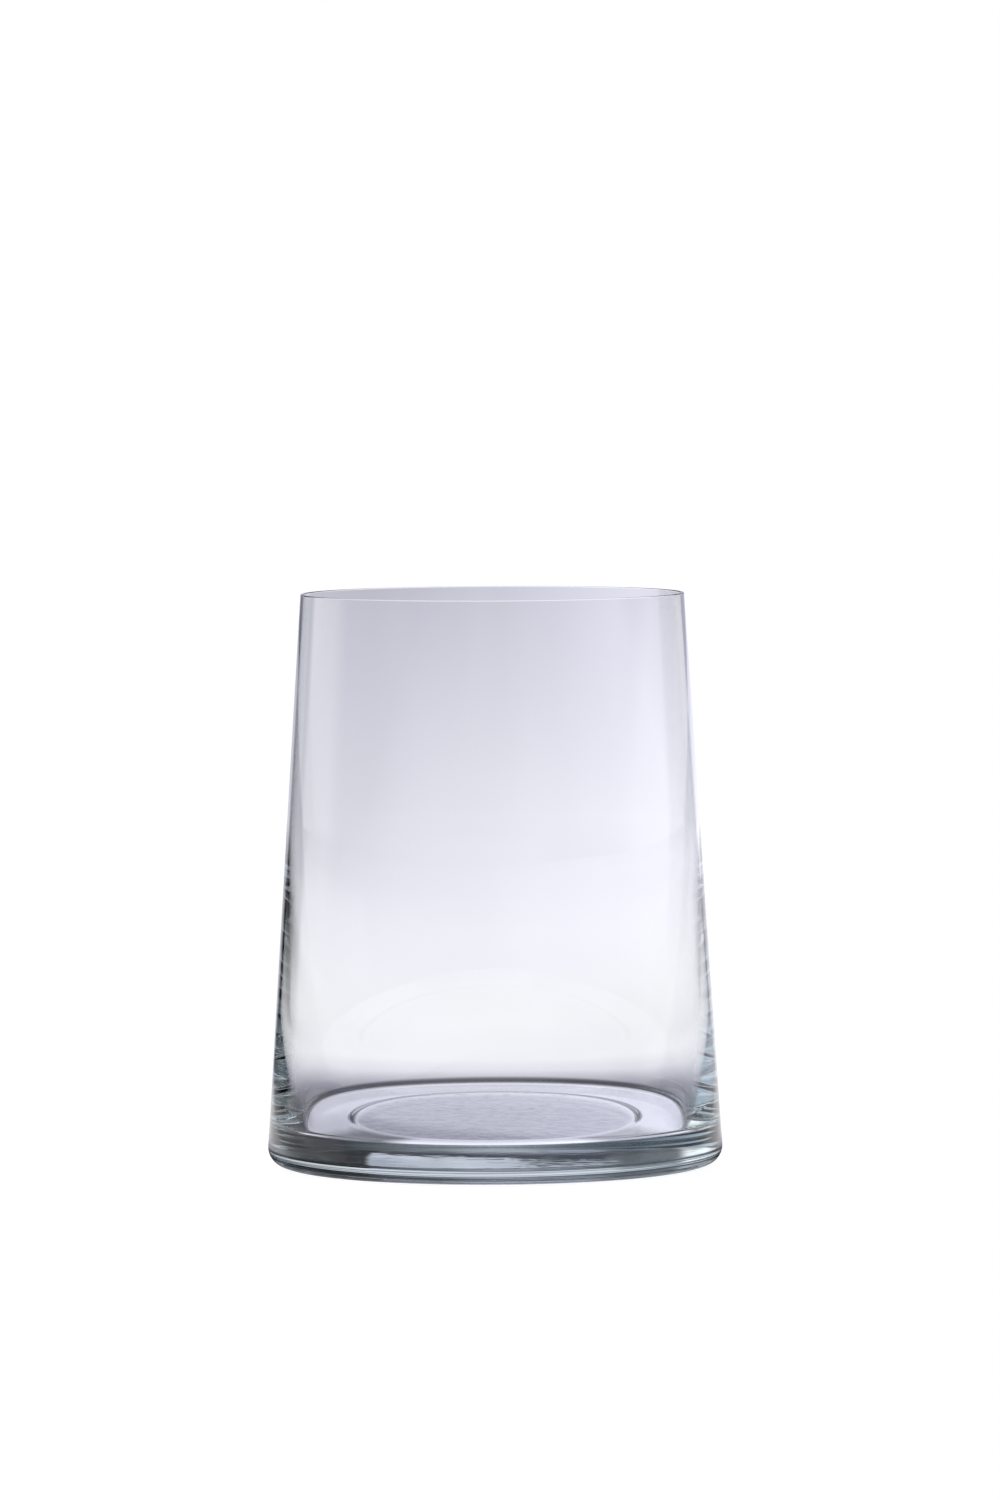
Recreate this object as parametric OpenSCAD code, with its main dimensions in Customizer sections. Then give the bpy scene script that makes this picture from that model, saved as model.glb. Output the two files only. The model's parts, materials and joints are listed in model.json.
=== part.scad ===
// Glass table vase: a tapered vessel, wide at the foot, with a heavy clear base.
// Millimetres, +Z up. The origin is the centre of the standing plane.
// The glass is drawn as four zones that meet on flat, level faces.

/* [Body] */
// Height from the standing plane to the top of the rim
height = 200; // [160:5:300]
// Outer diameter of the cone where it would meet the standing plane
base_d = 160; // [146:2:220]
// Outer diameter of the cone at the height of the rim
rim_d = 134; // [120:2:200]

/* [Glass thickness] */
// Wall at the rim and all the way down to where it starts to thicken
rim_wall = 1.1; // [0.8:0.1:3]
// Wall at the height where it starts to thicken faster
mid_wall = 4.4; // [3.5:0.1:6]
// Wall where it would meet the inner floor if the corner were sharp
foot_wall = 9.9; // [8:0.1:14]
// Height at which the wall starts to thicken towards the foot
thick_z = 108; // [80:1:140]
// Height at which it starts to thicken faster
steep_z = 54; // [35:1:65]
// Glass under the inner floor, measured from the standing plane
floor_t = 13; // [8:0.2:20]

/* [Rounding] */
// Radius between the inner floor and the wall
corner_r = 2.4; // [1:0.1:10]
// Radius of the heel, between the wall and the standing ring
heel_r = 6.3; // [3:0.1:9]
// Height of the cut and fire-polished lip
rim_h = 3; // [2:0.5:8]
// Radius on both edges of the lip's level top
lip_r = 0.3; // [0.1:0.05:0.35]

/* [Underside] */
// Outer diameter of the shallow recess inside the standing ring
recess_d = 106; // [60:2:124]
// Depth of the recess
recess_depth = 1; // [0.6:0.1:2.5]
// Width of the soft shoulder round the recess
shoulder_w = 3.8; // [1:0.1:8]

/* [Hidden] */
$fn = 180;

// Half the height over which the wall's thickening sets in
ease = 12;
// Points along the thickening wall, the corner arcs, the shoulder and each edge of the lip
wall_steps = 36;
arc_steps = 14;
shoulder_steps = 12;
lip_steps = 6;

base_r = base_d / 2;
rim_r = rim_d / 2;
recess_r = recess_d / 2;
// How far the outside leans inwards from the vertical
taper = atan((base_r - rim_r) / height);
// Height at which the thickening wall ends and the inner corner begins
foot_z = floor_t + corner_r;
// Height at which the lip begins
lip_z = height - rim_h;
// Glass gained per millimetre of height by the even thickening, and by the faster one at the floor
gain = (mid_wall - rim_wall) / (thick_z - steep_z);
swell = foot_wall - rim_wall - gain * (thick_z - floor_t);

// A straight slope that starts at zero, with its start rounded off
function eased(d) = d <= -ease ? 0 : d >= ease ? d : pow(d + ease, 2) / (4 * ease);
// How far below steep_z a height lies, from 0 there to 1 at the inner floor
function depth(z) = max(steep_z - z, 0) / (steep_z - floor_t);

// Outer radius, glass thickness and inner radius at a height
function outer_r(z) = base_r - z * tan(taper);
function wall_t(z) = rim_wall + gain * eased(thick_z - z) + swell * pow(depth(z), 2);
function inner_r(z) = outer_r(z) - wall_t(z);

// How far the inner wall leans inwards, going down, where it meets the corner
foot_lean = atan(gain + 2 * swell * depth(foot_z) / (steep_z - floor_t) - tan(taper));
// Where the corner's arc leaves the wall, and the arc's centre
corner_z = floor_t + corner_r * (1 - sin(foot_lean));
corner_x = inner_r(foot_z) - (foot_z - corner_z) * tan(foot_lean) - corner_r * cos(foot_lean);
// Centre of the heel's arc, which touches both the cone and the standing plane
heel_x = base_r - heel_r * tan(taper) - heel_r / cos(taper);
// Angle on the heel's arc at the height of the recess's ceiling
ring_top = asin((recess_depth - heel_r) / heel_r);

// Points on an arc about [x, z], from one angle to another
function arc(x, z, r, from, to, steps = arc_steps) =
    [for (i = [0:steps]) let (a = from + (to - from) * i / steps) [x + r * cos(a), z + r * sin(a)]];

// Turns a half section, given as [radius, height] points, round the vase's axis
module turned(points) {
    rotate_extrude() polygon(points);
}

// The standing ring round the recess: its soft shoulder, its flat and the lower part of the heel
module foot_ring() {
    shoulder = [for (i = [0:shoulder_steps]) let (s = i / shoulder_steps)
        [recess_r - shoulder_w * (1 - s), recess_depth * (1 + cos(180 * s)) / 2]];
    color([0.78, 0.86, 0.87, 0.35])
    turned(concat(
        shoulder,
        arc(heel_x, heel_r, heel_r, -90, ring_top)
    ));
}

// The heavy base, from the recess's ceiling to the top of the rounded inner corner
module base() {
    color([0.78, 0.86, 0.87, 0.35])
    turned(concat(
        [[0, recess_depth]],
        arc(heel_x, heel_r, heel_r, ring_top, taper),
        [[outer_r(foot_z), foot_z], [inner_r(foot_z), foot_z]],
        arc(corner_x, floor_t + corner_r, corner_r, -foot_lean, -90),
        [[0, floor_t]]
    ));
}

// The wall: straight outside, thin at the lip and thickening towards the base inside
module wall() {
    thick_top = thick_z + ease;
    thick = [for (i = [wall_steps:-1:0]) foot_z + (thick_top - foot_z) * i / wall_steps];
    color([0.9, 0.93, 0.95, 0.35])
    turned(concat(
        [[outer_r(foot_z), foot_z], [outer_r(lip_z), lip_z], [inner_r(lip_z), lip_z]],
        [for (z = thick) [inner_r(z), z]]
    ));
}

// The lip, cut level and fire-polished so that both its edges are round
module rim() {
    outer_lip = outer_r(height) - lip_r;
    inner_lip = outer_r(height) - rim_wall + lip_r;
    color([0.9, 0.93, 0.95, 0.35])
    turned(concat(
        [[outer_r(lip_z), lip_z]],
        arc(outer_lip, height - lip_r, lip_r, 0, 90, lip_steps),
        arc(inner_lip, height - lip_r, lip_r, 90, 180, lip_steps),
        [[inner_r(lip_z), lip_z]]
    ));
}

foot_ring();
base();
wall();
rim();
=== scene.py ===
import bpy
import json
from math import atan, cos, dist, log, pi, radians, sin, tan
from mathutils import Matrix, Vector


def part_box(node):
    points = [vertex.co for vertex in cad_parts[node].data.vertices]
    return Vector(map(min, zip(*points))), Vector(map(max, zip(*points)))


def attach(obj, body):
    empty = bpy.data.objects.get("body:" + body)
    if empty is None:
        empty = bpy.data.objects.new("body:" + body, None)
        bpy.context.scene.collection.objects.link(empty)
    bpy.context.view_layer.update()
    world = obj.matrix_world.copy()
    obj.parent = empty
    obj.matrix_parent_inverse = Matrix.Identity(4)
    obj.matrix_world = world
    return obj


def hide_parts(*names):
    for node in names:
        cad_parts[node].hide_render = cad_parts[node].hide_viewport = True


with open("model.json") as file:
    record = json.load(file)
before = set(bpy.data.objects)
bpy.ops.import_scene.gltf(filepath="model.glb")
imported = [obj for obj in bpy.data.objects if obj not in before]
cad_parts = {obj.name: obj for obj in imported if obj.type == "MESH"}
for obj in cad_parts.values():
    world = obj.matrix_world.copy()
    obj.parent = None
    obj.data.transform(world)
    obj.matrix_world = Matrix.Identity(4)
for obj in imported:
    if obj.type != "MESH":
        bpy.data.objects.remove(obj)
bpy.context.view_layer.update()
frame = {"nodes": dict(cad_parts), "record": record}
print("frame loaded:", len(frame["nodes"]), "zones of glass")


# Wraps one output socket, so that maths on sockets reads as plain expressions.
class Wire:
    def __init__(self, tree, socket):
        self.tree = tree
        self.socket = socket

    def maths(self, operation, *others):
        values = dict(enumerate((self, *others)))
        return self.tree.node("ShaderNodeMath", {"operation": operation}, values)

    def clamped(self, least, most):
        return self.maths("MAXIMUM", least).maths("MINIMUM", most)

    # The x, y and z of a vector.
    def parts(self):
        split = self.tree.nodeTree.nodes.new("ShaderNodeSeparateXYZ")
        self.tree.link(self.socket, split.inputs[0])
        return [Wire(self.tree, socket) for socket in split.outputs]

    def __add__(self, other):
        return self.maths("ADD", other)

    def __sub__(self, other):
        return self.maths("SUBTRACT", other)

    def __rsub__(self, other):
        return self.tree.node("ShaderNodeMath", {"operation": "SUBTRACT"}, {0: other, 1: self})

    def __mul__(self, other):
        return self.maths("MULTIPLY", other)

    def __truediv__(self, other):
        return self.maths("DIVIDE", other)

    def __rtruediv__(self, other):
        return self.tree.node("ShaderNodeMath", {"operation": "DIVIDE"}, {0: other, 1: self})

    def __lt__(self, other):
        return self.maths("LESS_THAN", other)

    __radd__ = __add__
    __rmul__ = __mul__


# Adds nodes to one shader or geometry tree.
class Tree:
    def __init__(self, nodeTree):
        self.nodeTree = nodeTree

    def link(self, source, target):
        self.nodeTree.links.new(source, target)

    # One node from its type, its settings and the values or wires of its sockets.
    def node(self, kind, settings=None, inputs=None, output=0):
        made = self.nodeTree.nodes.new(kind)
        for name, value in (settings or {}).items():
            setattr(made, name, value)
        for name, value in (inputs or {}).items():
            if isinstance(value, Wire):
                self.link(value.socket, made.inputs[name])
            else:
                made.inputs[name].default_value = value
        return Wire(self, made.outputs[output]) if len(made.outputs) else made

    # 1 on rays of one kind, such as Camera, and 0 on the others.
    def rayIs(self, kind):
        return self.node("ShaderNodeLightPath", output="Is " + kind + " Ray")

    # Goes softly from 0 to 1 between two values.
    def ramped(self, value, start, end):
        return self.node("ShaderNodeMapRange", {"interpolation_type": "SMOOTHSTEP"},
                         {"Value": value, "From Min": start, "From Max": end})

    # A colour between two others.
    def mix(self, share, first, second):
        made = self.nodeTree.nodes.new("ShaderNodeMix")
        made.data_type = "RGBA"
        sockets = [socket for socket in made.inputs if socket.enabled]
        for socket, value in zip(sockets, (share, first, second)):
            if isinstance(value, Wire):
                self.link(value.socket, socket)
            else:
                socket.default_value = value
        return Wire(self, next(socket for socket in made.outputs if socket.enabled))


# The vase's own section, in metres. Heights, radii and slopes that the solids show come from the frame.
zones = {name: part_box(name) for name in ("foot_ring", "base", "wall", "rim")}
mounts = {mount["name"]: mount["pos_m"] for mount in frame["record"]["mounts"]}
vaseGlass = {
    "rimWall": 0.0011,        # thickness at the lip and down to where the wall thickens
    "midWall": 0.0044,        # thickness where it starts to thicken faster
    "footWall": 0.0099,       # thickness where the wall would meet the inner floor
    "thickFrom": 0.108,       # height at which the wall starts to thicken towards the foot
    "steepFrom": 0.054,       # height at which it starts to thicken faster
    "ease": 0.012,            # half the height over which the thickening sets in
    "lipRound": 0.0003,       # on both edges of the lip's level top
    "cornerRadius": 0.0024,   # between the inner floor and the wall
    "heelRadius": 0.0063,     # between the wall and the standing ring
    "recessRadius": 0.053,    # of the shallow recess in the underside
    "shoulderWidth": 0.0038,  # of the soft shoulder round the recess
    "mottleDepth": 0.00012,   # of the faint relief on the recess's ceiling
    "mottleSize": 0.004,
    "mottleSeed": 3.0,
    "bending": 1.52,          # index of refraction
    "tint": (0.4, 0.8, 0.8, 1),
    "tintDensity": 1.6,
    "stepsAround": 400,
    "ceilingSteps": 40,
    "shoulderSteps": 16,
    "heelSteps": 28,
    "lipSteps": 7,
    "wallSteps": 56,
    "cornerSteps": 18,
}


# Points on an arc about (x, z), from one angle to another, the first left out.
def arc(x, z, radius, start, end, steps):
    angles = [start + (end - start) * i / steps for i in range(1, steps + 1)]
    return [(x + radius * cos(a), z + radius * sin(a)) for a in angles]


# Points along a straight, the first left out. Two more hug its ends, so that the shading turns only there.
def straight(start, end, steps, hug=0.00012):
    near = hug / dist(start, end)
    shares = [near] + [i / steps for i in range(1, steps)] + [1 - near, 1]
    return [tuple(a + (b - a) * share for a, b in zip(start, end)) for share in shares]


# The half section from the axis under the vase, round the outside and down the inside to the axis again.
def vaseSection(g):
    top = zones["rim"][1][2]
    lipZ = zones["rim"][0][2]
    footZ = zones["wall"][0][2]
    ceilingZ = zones["base"][0][2]
    floorZ = mounts["inner_floor"][2]
    lean = (zones["wall"][1][0] - zones["rim"][1][0]) / (lipZ - footZ)
    taper = atan(lean)
    baseRadius = zones["wall"][1][0] + footZ * lean
    thickFrom, steepFrom, ease = g["thickFrom"], g["steepFrom"], g["ease"]
    gain = (g["midWall"] - g["rimWall"]) / (thickFrom - steepFrom)
    swell = g["footWall"] - g["rimWall"] - gain * (thickFrom - floorZ)
    swellDepth = steepFrom - floorZ

    def outer(z):
        return baseRadius - z * lean

    def inner(z):
        below = thickFrom - z
        eased = below if below > ease else max(below + ease, 0) ** 2 / (4 * ease)
        steep = max(steepFrom - z, 0) / swellDepth
        return outer(z) - g["rimWall"] - gain * eased - swell * steep ** 2

    heel = g["heelRadius"]
    heelX = baseRadius - heel * lean - heel / cos(taper)
    corner = g["cornerRadius"]
    footLean = atan(gain + 2 * swell * (steepFrom - footZ) / swellDepth ** 2 - lean)
    cornerZ = floorZ + corner * (1 - sin(footLean))
    cornerX = inner(footZ) - (footZ - cornerZ) * tan(footLean) - corner * cos(footLean)
    lip = g["lipRound"]
    recess = g["recessRadius"]
    shoulder = g["shoulderWidth"]

    points = [(0, ceilingZ)]
    points += straight(points[-1], (recess - shoulder, ceilingZ), g["ceilingSteps"])
    for i in range(1, g["shoulderSteps"] + 1):
        out = i / g["shoulderSteps"]
        points.append((recess - shoulder * (1 - out), ceilingZ * (1 + cos(pi * out)) / 2))
    points += straight(points[-1], (heelX, 0), 6)
    points += arc(heelX, heel, heel, -pi / 2, taper, g["heelSteps"])
    points += straight(points[-1], (outer(top - lip), top - lip), 8)
    points += arc(outer(top) - lip, top - lip, lip, 0, pi / 2, g["lipSteps"])
    points += straight(points[-1], (outer(top) - g["rimWall"] + lip, top), 2, 0.00005)
    points += arc(points[-1][0], top - lip, lip, pi / 2, pi, g["lipSteps"])
    points += straight(points[-1], (inner(thickFrom + ease), thickFrom + ease), 4)
    fall = thickFrom + ease - footZ
    heights = [footZ + fall * (1 - i / g["wallSteps"]) for i in range(1, g["wallSteps"] + 1)]
    points += [(inner(z), z) for z in heights]
    points += arc(cornerX, floorZ + corner, corner, -footLean, -pi / 2, g["cornerSteps"])
    points += straight(points[-1], (0, floorZ), 4)
    return points


# Sweeps the section round the vertical axis and closes its seam and its two poles.
def turningTree(material):
    group = bpy.data.node_groups.new("vaseTurning", "GeometryNodeTree")
    tree = Tree(group)
    group.interface.new_socket("Geometry", in_out="INPUT", socket_type="NodeSocketGeometry")
    for name, kind in (("Steps Around", "NodeSocketInt"), ("Mottle Depth", "NodeSocketFloat"),
                       ("Mottle Size", "NodeSocketFloat"), ("Ceiling Height", "NodeSocketFloat"),
                       ("Ceiling Radius", "NodeSocketFloat"), ("Seed", "NodeSocketFloat")):
        group.interface.new_socket(name, in_out="INPUT", socket_type=kind)
    group.interface.new_socket("Geometry", in_out="OUTPUT", socket_type="NodeSocketGeometry")
    given = tree.nodeTree.nodes.new("NodeGroupInput")
    size = {socket.name: Wire(tree, socket) for socket in given.outputs if socket.name}

    rows = tree.node("GeometryNodeAttributeDomainSize", {"component": "MESH"}, {0: size["Geometry"]})
    columns = size["Steps Around"] + 1
    sheet = tree.node("GeometryNodeMeshGrid", None, {"Vertices X": columns, "Vertices Y": rows})
    index = tree.node("GeometryNodeInputIndex")
    column = (index / rows).maths("FLOOR")
    row = index.maths("MODULO", rows)
    place = tree.node("GeometryNodeInputPosition")
    section = tree.node("GeometryNodeSampleIndex", {"data_type": "FLOAT_VECTOR", "domain": "POINT"},
                        {"Geometry": size["Geometry"], "Value": place, "Index": row})
    turned = tree.node("ShaderNodeVectorRotate", {"rotation_type": "Z_AXIS"},
                       {"Vector": section, "Angle": column * (2 * pi) / size["Steps Around"]})
    rolled = tree.node("GeometryNodeSetPosition", None, {"Geometry": sheet, "Position": turned})
    closed = tree.node("GeometryNodeMergeByDistance", None, {"Geometry": rolled, "Distance": 1e-6})

    noise = tree.node("ShaderNodeTexNoise", {"noise_dimensions": "4D"},
                      {"Vector": place, "W": size["Seed"], "Scale": 1 / size["Mottle Size"], "Detail": 2.0})
    x, y, z = place.parts()
    reach = (x * x + y * y).maths("SQRT") / size["Ceiling Radius"]
    flat = 1 - tree.ramped(reach, 0.94, 0.995)    # the mottle fades out before the shoulder
    onCeiling = (z - size["Ceiling Height"]).maths("ABSOLUTE") < 1e-5
    lift = (noise - 0.5) * size["Mottle Depth"] * flat * onCeiling
    push = tree.node("ShaderNodeCombineXYZ", None, {"Z": lift})
    mottled = tree.node("GeometryNodeSetPosition", None, {"Geometry": closed, "Offset": push})

    smooth = tree.node("GeometryNodeSetShadeSmooth", None, {"Geometry": mottled})
    real = tree.node("GeometryNodeRealizeInstances", None, {"Geometry": smooth})
    dressed = tree.node("GeometryNodeSetMaterial", None, {"Geometry": real, "Material": material})
    tree.link(dressed.socket, tree.nodeTree.nodes.new("NodeGroupOutput").inputs[0])
    return group


def clearGlass(g):
    material = bpy.data.materials.new("clearGlass")
    material.use_nodes = True
    tree = Tree(material.node_tree)
    tree.nodeTree.nodes.clear()
    surface = tree.node("ShaderNodeBsdfPrincipled", None, {
        "Base Color": (1, 1, 1, 1),
        "Roughness": 0.0,
        "IOR": g["bending"],
        "Transmission Weight": 1.0,
    })
    body = tree.node("ShaderNodeVolumeAbsorption", None, {"Color": g["tint"], "Density": g["tintDensity"]})
    tree.node("ShaderNodeOutputMaterial", None, {"Surface": surface, "Volume": body})
    return material


def makeVase():
    g = vaseGlass
    points = vaseSection(g)
    section = bpy.data.meshes.new("vaseSection")
    section.from_pydata([(r, 0, z) for r, z in points], [(i, i + 1) for i in range(len(points) - 1)], [])
    blank = bpy.data.objects.new("vaseSection", section)
    bpy.context.scene.collection.objects.link(blank)

    group = turningTree(clearGlass(g))
    turning = blank.modifiers.new("vaseTurning", "NODES")
    turning.node_group = group
    sizes = {
        "Steps Around": g["stepsAround"],
        "Mottle Depth": g["mottleDepth"],
        "Mottle Size": g["mottleSize"],
        "Ceiling Height": zones["base"][0][2],
        "Ceiling Radius": g["recessRadius"] - g["shoulderWidth"],
        "Seed": g["mottleSeed"],
    }
    for item in group.interface.items_tree:
        if item.in_out == "INPUT" and item.name in sizes:
            turning[item.identifier] = sizes[item.name]

    depsgraph = bpy.context.evaluated_depsgraph_get()
    mesh = bpy.data.meshes.new_from_object(blank.evaluated_get(depsgraph), depsgraph=depsgraph)
    mesh.materials.pop(index=0)    # the grid's own empty slot
    vase = bpy.data.objects.new("glass_vase", mesh)
    bpy.context.scene.collection.objects.link(vase)
    blank.modifiers.remove(turning)
    bpy.data.objects.remove(blank)
    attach(vase, "root")
    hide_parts("foot_ring", "base", "wall", "rim")
    print("vase turned:", len(points), "points in its section,", len(mesh.polygons), "faces")
    return vase


cameraView = {
    "place": (0, -3.151, 0.321),
    "lens": 216.6,
    "pitch": 3.196,    # degrees down from level
    "roll": 0.317,     # degrees, anticlockwise
    "pan": -0.044,     # degrees, to the right
}


def makeCamera():
    data = bpy.data.cameras.new("camera")
    data.lens = cameraView["lens"]
    data.sensor_width = 36
    data.clip_end = 100
    camera = bpy.data.objects.new("camera", data)
    turn = (Matrix.Rotation(radians(cameraView["pan"]), 4, "Z")
            @ Matrix.Rotation(radians(90 - cameraView["pitch"]), 4, "X")
            @ Matrix.Rotation(radians(-cameraView["roll"]), 4, "Z"))
    camera.matrix_world = Matrix.Translation(cameraView["place"]) @ turn
    bpy.context.scene.collection.objects.link(camera)
    bpy.context.scene.camera = camera
    print("camera placed")


# What the glass sees above the table, as upright stretches of the studio. A stretch lies between two
# azimuths, in degrees to the right of straight ahead, and is soft by so many degrees at each. Its stops are
# (degrees above level, brightness). Cool makes its dim parts bluer, and teal takes red away.
studioWalls = {
    "behind": {"cool": 0.1, "teal": 0, "stops": [
        (-2, 0.6), (0, 0.5), (2, 0.7), (3.5, 0.55), (6, 0.3), (12, 0.05), (44, 0.05), (57, 0.2), (90, 0.5)]},
    "leftRear": {"from": -152, "to": -78, "soft": (15, 10), "cool": 0.3, "teal": 0.35, "stops": [
        (-2, 0.6), (0, 0.6), (1.6, 0.76), (4, 0.75), (6, 0.4), (18, 0.4), (33, 0.2), (45, 0.12), (57, 0.12),
        (90, 0.5)]},
    "softbox": {"from": -78, "to": -44, "soft": (8, 4), "cool": 0.1, "teal": 0, "stops": [
        (-2, 0.6), (0, 0.85), (1, 1.15), (3, 1.3), (6.5, 1.05), (8, 0.6), (11, 0.45), (20, 0.6), (26, 0.45),
        (36, 0.2), (60, 0.15), (90, 0.5)]},
    "leftCard": {"from": -44, "to": -22, "soft": (4, 3), "cool": 0.1, "teal": 0.1, "stops": [
        (-2, 0.1), (-1, 0.4), (1, 0.45), (3, 0.17), (8, 0.12), (14, 0.1), (20, 0.16), (30, 0.3), (60, 0.25),
        (90, 0.5)]},
    "backdropLeft": {"from": -22, "to": -9, "soft": (3, 2), "cool": 0.32, "teal": 0, "stops": [
        (-2, 0.03), (-1, 0.25), (2, 0.5), (3.5, 0.72), (7.4, 0.62), (8.4, 0.06), (13, 0.06), (17, 0.16),
        (21, 0.3), (30, 0.42), (45, 0.6), (90, 0.5)]},
    "backdrop": {"from": -9, "to": 10, "soft": (2, 5), "cool": 0.32, "teal": 0, "stops": [
        (-2, 0.56), (-1, 0.4), (0.5, 0.35), (2, 0.52), (3.5, 0.7), (5, 0.58), (7.4, 0.55), (8.4, 0.05),
        (13, 0.05), (17, 0.2), (21, 0.34), (30, 0.42), (45, 0.6), (90, 0.5)]},
    "backdropRight": {"from": 10, "to": 24.5, "soft": (5, 1), "cool": 0.32, "teal": 0, "stops": [
        (-2, 0.4), (1, 0.4), (3, 0.65), (7.4, 0.6), (8.4, 0.05), (15, 0.05), (20, 0.2), (30, 0.25),
        (45, 0.45), (90, 0.5)]},
    "rightCard": {"from": 24.5, "to": 100, "soft": (1, 12), "cool": 0.05, "teal": 0, "stops": [
        (-2, 0.6), (-1, 0.8), (0, 0.8), (2, 0.6), (2.6, 0.2), (3.2, 0.01), (22, 0.01), (45, 0.04),
        (60, 0.15), (90, 0.5)]},
    "rightRear": {"from": 100, "to": 150, "soft": (12, 12), "cool": 0.1, "teal": 0.1, "stops": [
        (-2, 0.1), (0, 0.1), (2, 0.3), (4, 0.3), (6, 0.05), (30, 0.02), (45, 0.04), (57, 0.2), (90, 0.5)]},
}


# How much the upper edge of the panel in the backdrop leans up to the right, and between which directions.
panelLean = {"rise": 0.27, "from": -9, "to": 25}


# A place from 0 to 1 along a ramp, in which the stretch near level gets the most room.
def rampPlace(elevation):
    return 0.5 + 0.5 * (abs(elevation) / 90) ** 0.5 * (1 if elevation > 0 else -1)


def rampWire(tree, elevation):
    return (elevation.maths("ABSOLUTE") / 90).maths("POWER", 0.5) * elevation.maths("SIGN") * 0.5 + 0.5


# A ramp through stops of brightness, all of it faintly blue.
def lightRamp(tree, place, stops, cool=0, teal=0):
    ramp = tree.nodeTree.nodes.new("ShaderNodeValToRGB")
    ramp.color_ramp.elements.remove(ramp.color_ramp.elements[1])
    for index, (position, bright) in enumerate(stops):
        stop = ramp.color_ramp.elements[0] if index == 0 else ramp.color_ramp.elements.new(position)
        stop.position = position
        dim = max(1 - bright, 0)
        tint = (1 - teal * dim, 1 - 0.3 * teal * dim, 1.03 + cool * dim)
        stop.color = [bright * share for share in tint] + [1]
    tree.link(place.socket, ramp.inputs["Fac"])
    return Wire(tree, ramp.outputs["Color"])


def makeWorld():
    world = bpy.data.worlds.new("studio")
    bpy.context.scene.world = world
    world.use_nodes = True
    tree = Tree(world.node_tree)
    tree.nodeTree.nodes.clear()
    x, y, z = tree.node("ShaderNodeTexCoord").parts()    # its first output, which in a world is the direction
    azimuth = x.maths("ARCTAN2", y) * (180 / pi)
    elevation = z.maths("ARCSINE") * (180 / pi)
    g = panelLean
    rise = azimuth.clamped(g["from"], g["to"]) * g["rise"]
    level = rampWire(tree, elevation)
    leaning = rampWire(tree, elevation - rise * tree.ramped(elevation, 0, 5))

    seen = None
    for name, wall in studioWalls.items():
        stops = [(rampPlace(height), bright) for height, bright in wall["stops"]]
        place = leaning if name.startswith("backdrop") else level
        colour = lightRamp(tree, place, stops, wall["cool"], wall["teal"])
        if seen is None:
            seen = colour
            continue
        (start, end), (softStart, softEnd) = (wall["from"], wall["to"]), wall["soft"]
        inside = (tree.ramped(azimuth, start - softStart, start + softStart)
                  * tree.ramped(azimuth, end + softEnd, end - softEnd))
        seen = tree.mix(inside, seen, colour)

    shown = tree.mix(tree.rayIs("Camera"), seen, (1, 1, 1, 1))
    light = tree.node("ShaderNodeBackground", None, {"Color": shown, "Strength": 1.0})
    tree.node("ShaderNodeOutputWorld", None, {"Surface": light})
    print("studio lit:", len(studioWalls), "stretches")


# The pale table. For the camera it is white paint that keeps a faint shadow. The glass sees painted light
# instead: an emission painted by place, with painted shade under the vase, a painted shadow of the vase round
# its foot and painted light that falls off further out, and each share below is taken of that painted light.
# Places are in metres from the vase's axis, and azimuths in degrees to the right of straight ahead.
table = {
    "drop": 0.0001,         # how far under the standing ring it lies
    "half": 6.0,
    "paint": 0.35,          # what it gives back of the light that falls on it
    "glow": 0.95,           # added for the camera alone
    "cool": 0.24,           # how much bluer its painted dim parts are
    # Painted: shade under the recess, light under the standing ring, a dark painted shadow round the foot,
    # then painted light falling off away from the vase.
    "fromAxis": [           # (distance, painted brightness)
        (0.04, 0.56), (0.047, 0.56), (0.0505, 0.93), (0.073, 0.93), (0.079, 0.04), (0.09, 0.05), (0.1, 0.15),
        (0.11, 0.28), (0.12, 0.45), (0.14, 0.78), (0.17, 0.95), (0.3, 0.97), (0.42, 0.965), (0.5, 0.945),
        (0.57, 0.925), (0.645, 0.89), (0.72, 0.87), (1, 0.85), (1.9, 0.815), (3, 0.715), (4.6, 0.62),
        (6, 0.55)],

    # Under the vase the glass sees painted shade, faintly blue and painted lighter to the right, and round
    # the standing ring painted shade at some azimuths.
    "underReach": 0.075,    # how far the part under the vase reaches
    "underTint": (0.98, 0.98, 1.08),
    "underGain": 5,         # painted light gained there for each metre to the right
    "ringFrom": 0.048,      # where the standing ring's own shares set in
    "ringTo": 0.053,
    "ringRound": [          # (azimuth, share), painted shade where below 1
        (-180, 1), (-152, 1), (-142, 0.2), (-122, 0.3), (-108, 1), (108, 1), (120, 0.5), (142, 0.5), (152, 1),
        (180, 1)],

    "strip": (-0.2, 0.24),  # beside the vase, only a strip behind it has all the painted light, from left to right
    "stripSoft": 0.03,
    "aside": 0.6,           # and the rest has this share, a painted shade

    "farRound": [           # (azimuth, share) far from the vase: painted shade where below 1, painted light above
        (-180, 0.9), (-120, 1.1), (-60, 1), (-55, 0.9), (-50, 0.03), (-24, 0.03), (-17, 1), (24, 1),
        (25, 0.65), (100, 0.65), (120, 0.9), (180, 0.9)],
    "farFrom": 0.32,        # where those set in, and where they hold
    "farTo": 0.55,
    "gain": 1.7,            # painted light gained for each metre to the right, between least and most
    "least": -0.16,
    "most": 0.3,
    "gainFrom": 0.15,       # where that sets in, and where it holds
    "gainTo": 0.9,
}


# A ramp of shares all the way round, read at a direction from 0 to 1 that has straight ahead in its middle.
def roundRamp(tree, direction, shares):
    return lightRamp(tree, direction, [(azimuth / 360 + 0.5, share) for azimuth, share in shares])
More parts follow.
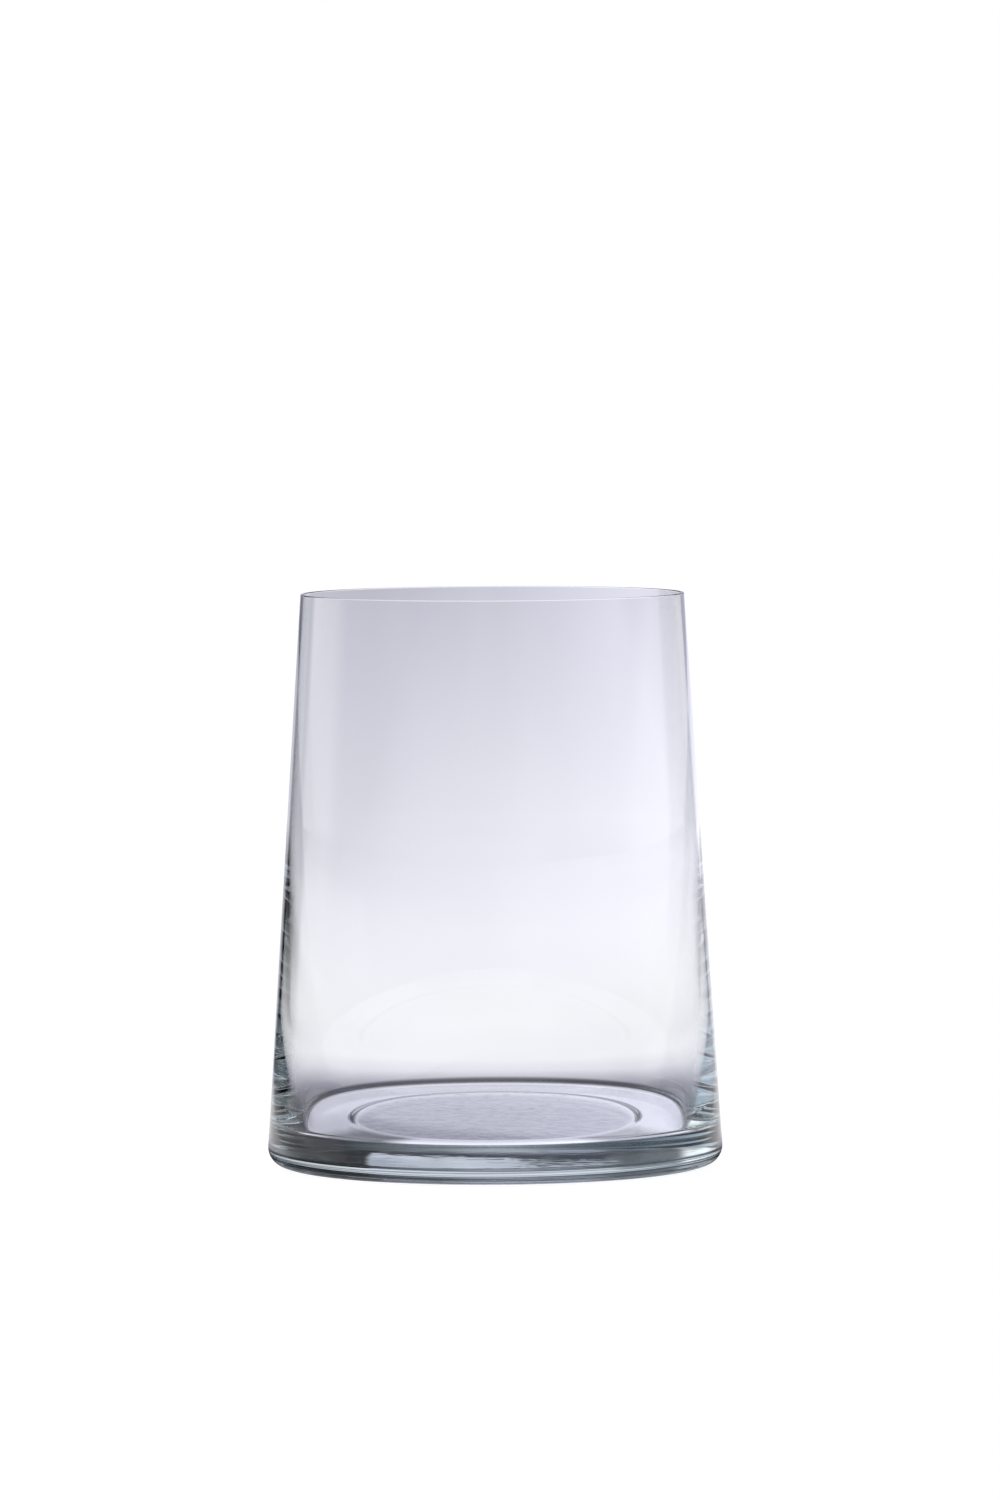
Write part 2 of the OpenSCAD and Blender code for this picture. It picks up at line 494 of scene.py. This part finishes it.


# The painted light that the glass sees at each place of the table: painted shade and a painted shadow
# round the vase, painted light falling off away from it and gained to the right.
def paintedTableLight(tree, g):
    x, y, z = tree.node("ShaderNodeTexCoord", output="Object").parts()
    away = (x * x + y * y).maths("SQRT")
    nearest, farthest = g["fromAxis"][0][0], g["fromAxis"][-1][0]
    growth = farthest / nearest
    stops = [(log(distance / nearest, growth), bright) for distance, bright in g["fromAxis"]]
    light = lightRamp(tree, (away / nearest).maths("LOGARITHM", growth), stops, g["cool"])

    direction = x.maths("ARCTAN2", y) / (2 * pi) + 0.5
    far = roundRamp(tree, direction, g["farRound"])
    ring = roundRamp(tree, direction, g["ringRound"])
    ring = tree.node("ShaderNodeVectorMath", {"operation": "MULTIPLY"}, {0: ring, 1: g["underTint"]})
    beneath = tree.mix(tree.ramped(away, g["ringFrom"], g["ringTo"]), (*g["underTint"], 1), ring)
    # Painted shade beside the vase, outside the strip behind it.
    (left, right), soft = g["strip"], g["stripSoft"]
    strip = tree.ramped(x, left - soft, left + soft) * tree.ramped(x, right + soft, right - soft)
    near = strip * tree.ramped(y, 0, soft) * (1 - g["aside"]) + g["aside"]
    under = away < g["underReach"]
    share = tree.mix(tree.ramped(away, g["farFrom"], g["farTo"]), tree.mix(under, near, beneath), far)

    # Painted light, lighter to the right of the vase.
    side = (x * g["gain"]).clamped(g["least"], g["most"]) * tree.ramped(away, g["gainFrom"], g["gainTo"])
    gain = side + under * x.maths("MAXIMUM", 0) * g["underGain"] + 1
    lit = tree.node("ShaderNodeVectorMath", {"operation": "MULTIPLY"}, {0: light, 1: share})
    return tree.node("ShaderNodeVectorMath", {"operation": "SCALE"}, {0: lit, "Scale": gain})


# Real pale paint with a white glow for the camera, and painted light for the glass.
def palePaint(g):
    material = bpy.data.materials.new("palePaint")
    material.use_nodes = True
    tree = Tree(material.node_tree)
    tree.nodeTree.nodes.clear()
    paint = tree.node("ShaderNodeBsdfDiffuse", None, {"Color": (g["paint"], g["paint"], g["paint"], 1)})
    glow = tree.node("ShaderNodeEmission", None, {"Strength": tree.rayIs("Camera") * g["glow"]})
    plain = tree.node("ShaderNodeAddShader", None, {0: paint, 1: glow})
    # Glossy and transmission rays see painted light, an emission by place, instead of the lit paint.
    paintedLight = tree.node("ShaderNodeEmission", None, {"Color": paintedTableLight(tree, g), "Strength": 1.0})
    inGlass = tree.rayIs("Glossy").maths("MAXIMUM", tree.rayIs("Transmission"))
    shown = tree.node("ShaderNodeMixShader", None, {0: inGlass, 1: plain, 2: paintedLight})
    tree.node("ShaderNodeOutputMaterial", None, {"Surface": shown})
    return material


def makeTable():
    g = table
    half = g["half"]
    height = zones["foot_ring"][0][2] - g["drop"]
    mesh = bpy.data.meshes.new("table")
    corners = [(x, y, height) for x, y in ((-half, -half), (half, -half), (half, half), (-half, half))]
    mesh.from_pydata(corners, [], [(0, 1, 2, 3)])
    mesh.materials.append(palePaint(g))
    floor = bpy.data.objects.new("table", mesh)
    bpy.context.scene.collection.objects.link(floor)
    print("table laid")


makeCamera()
makeVase()
makeTable()
makeWorld()
cycles = bpy.context.scene.cycles
cycles.max_bounces = 48
cycles.transmission_bounces = 48
cycles.glossy_bounces = 24
bpy.context.scene.view_settings.view_transform = "Standard"
